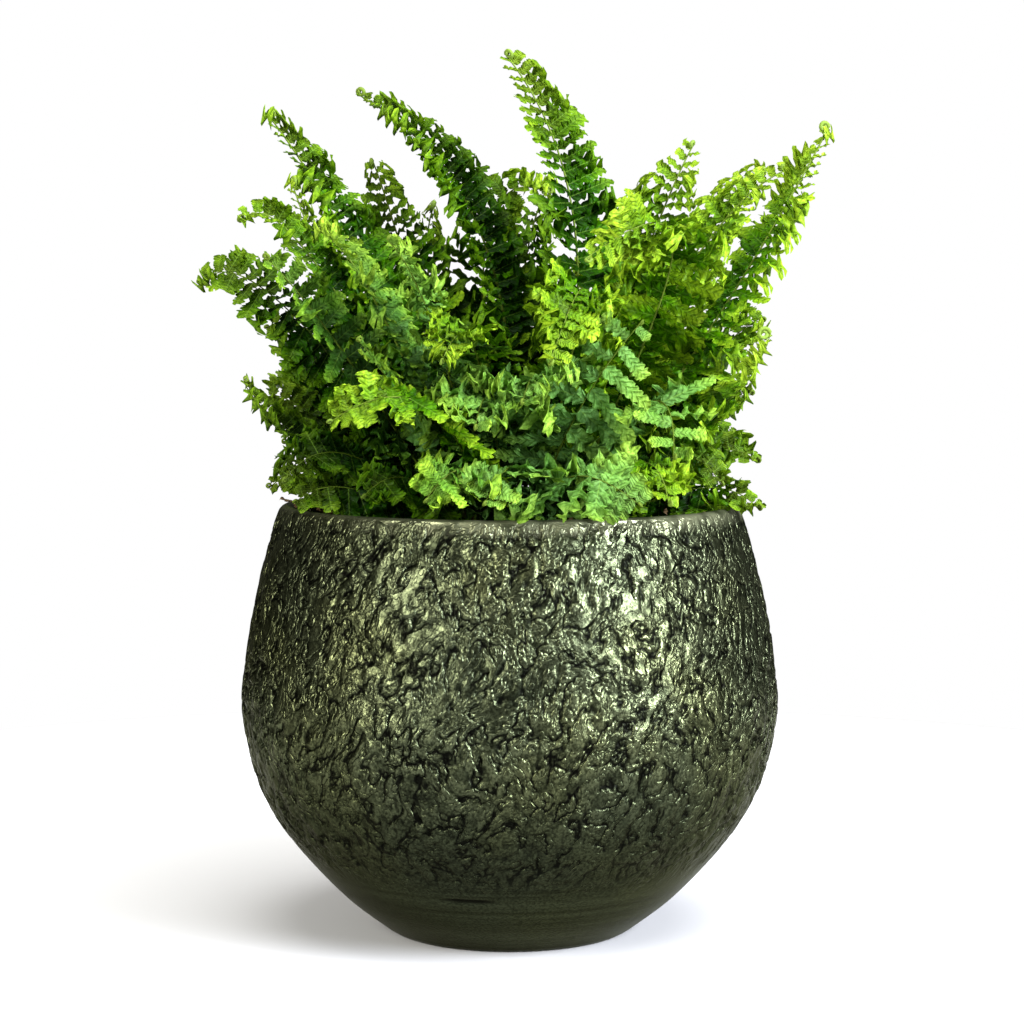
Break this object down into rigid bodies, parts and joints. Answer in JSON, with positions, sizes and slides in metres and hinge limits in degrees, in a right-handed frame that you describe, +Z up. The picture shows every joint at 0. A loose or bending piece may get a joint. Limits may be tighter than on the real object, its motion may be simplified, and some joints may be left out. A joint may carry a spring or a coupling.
{
  "type": "potted boston fern",
  "caption": "Bushy fern with ruffled, finely divided arching fronds, rooted in soil in a round wide-bellied pot with a crusted metallic glaze and a narrow smooth lip.",
  "frame": {"origin": "middle of the pot's flat foot, on the surface that it stands on", "axes": "+Z up along the pot's axis; the pictured side of the plant faces -Y, and +X is to its right"},
  "size_m": [0.2213, 0.1908, 0.311],
  "materials": {
    "pot_glaze": "satin",
    "potting_soil": "matte",
    "rhizome": "matte",
    "leaf_green": "satin",
    "leaf_lime": "satin"
  },
  "bodies": {
    "root": {"pot": "pot_glaze", "soil": "potting_soil", "rhizome": "rhizome", "frond_left_tall": "leaf_green", "frond_left_young": "leaf_green", "frond_left_high_arch": "leaf_green", "frond_left_low_arch": "leaf_green", "frond_left_leaning": "leaf_green", "frond_left_mid": "leaf_green", "frond_left_mid_low": "leaf_green", "frond_left_thin": "leaf_green", "frond_left_rim": "leaf_green", "frond_left_low_back": "leaf_green", "frond_left_low_front": "leaf_green", "frond_left_back_upright": "leaf_green", "frond_left_crozier": "leaf_green", "frond_long_arch": "leaf_green", "frond_centre_tall": "leaf_green", "frond_centre_back": "leaf_green", "frond_comb": "leaf_green", "frond_right_upright": "leaf_green", "frond_right_arch": "leaf_green", "frond_right_slant": "leaf_green", "frond_right_long": "leaf_green", "frond_right_mid": "leaf_green", "frond_right_crozier": "leaf_green", "frond_right_mid_low": "leaf_green", "frond_right_low": "leaf_green", "frond_right_low_back": "leaf_green", "frond_right_rim": "leaf_green", "frond_right_low_front": "leaf_green", "frond_bright_arch": "leaf_lime", "frond_bright_arch_low": "leaf_green", "frond_front_right": "leaf_green", "frond_front_mid_right": "leaf_green", "frond_front_light_left": "leaf_lime", "frond_front_blue_left": "leaf_green", "frond_front_yellow": "leaf_lime", "frond_front_inner_left": "leaf_green", "frond_front_lime_left": "leaf_lime", "frond_front_low_left": "leaf_green", "frond_rim_front_left": "leaf_green", "frond_front_inner_mid": "leaf_green", "frond_front_low_mid": "leaf_green", "frond_front_low_right": "leaf_green", "frond_front_rim_right": "leaf_lime", "frond_front_centre": "leaf_green", "frond_left_bottom": "leaf_green", "frond_far_high_1": "leaf_green", "frond_far_high_2": "leaf_green", "frond_far_high_3": "leaf_green", "frond_far_high_4": "leaf_green", "frond_far_high_5": "leaf_green", "frond_far_low_1": "leaf_green", "frond_far_low_2": "leaf_green", "frond_far_low_3": "leaf_green", "frond_far_low_4": "leaf_green", "frond_far_low_5": "leaf_green", "frond_far_low_6": "leaf_green"}
  },
  "joints": []
}
